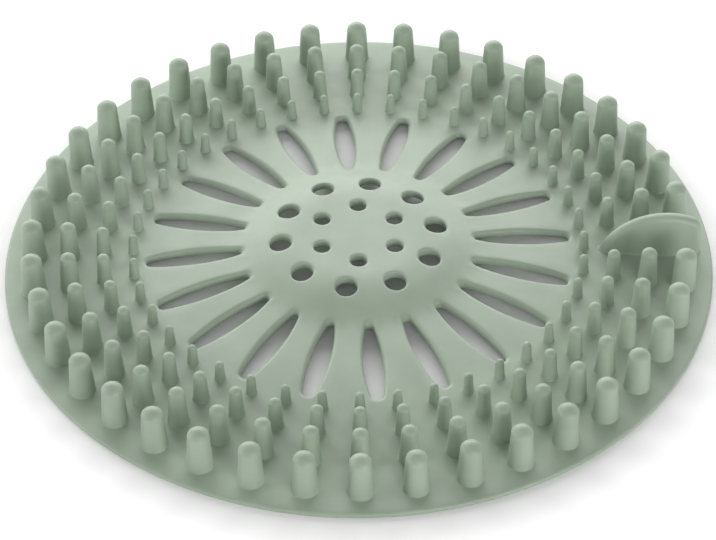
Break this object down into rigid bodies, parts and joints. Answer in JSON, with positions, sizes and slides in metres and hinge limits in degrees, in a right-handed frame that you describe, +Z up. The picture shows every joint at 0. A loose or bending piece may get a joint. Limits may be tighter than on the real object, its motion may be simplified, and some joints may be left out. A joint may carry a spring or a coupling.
{
  "type": "silicone drain strainer",
  "caption": "Round soft silicone strainer that lies over a sink or shower drain: slotted raised centre with drain holes, rings of hair-catching studs and a bending lift tab.",
  "frame": {"origin": "on the disc's axis, at the level of the flat band under the flange, which rests on the floor", "axes": "+Z up along the disc's axis, +X from the axis towards the lift tab"},
  "size_m": [0.13, 0.13, 0.0099],
  "materials": {
    "silicone": "matte moulded sage green"
  },
  "bodies": {
    "strainer": {"crown_plate": "silicone", "strainer_ribs": "silicone", "stud_flange": "silicone", "rim_lip": "silicone", "inner_studs": "silicone", "third_studs": "silicone", "second_studs": "silicone", "outer_studs": "silicone", "tab_root": "silicone"},
    "tab": {"lift_tab": "silicone"}
  },
  "joints": [
    {"name": "tab_bend", "type": "hinge", "parent": "strainer", "child": "tab", "pos_m": [0.054, 0, 0.00346], "axis": [1, 0, 0], "range_deg": [-35, 35], "stiffness_Nm_per_rad": 0.01}
  ]
}
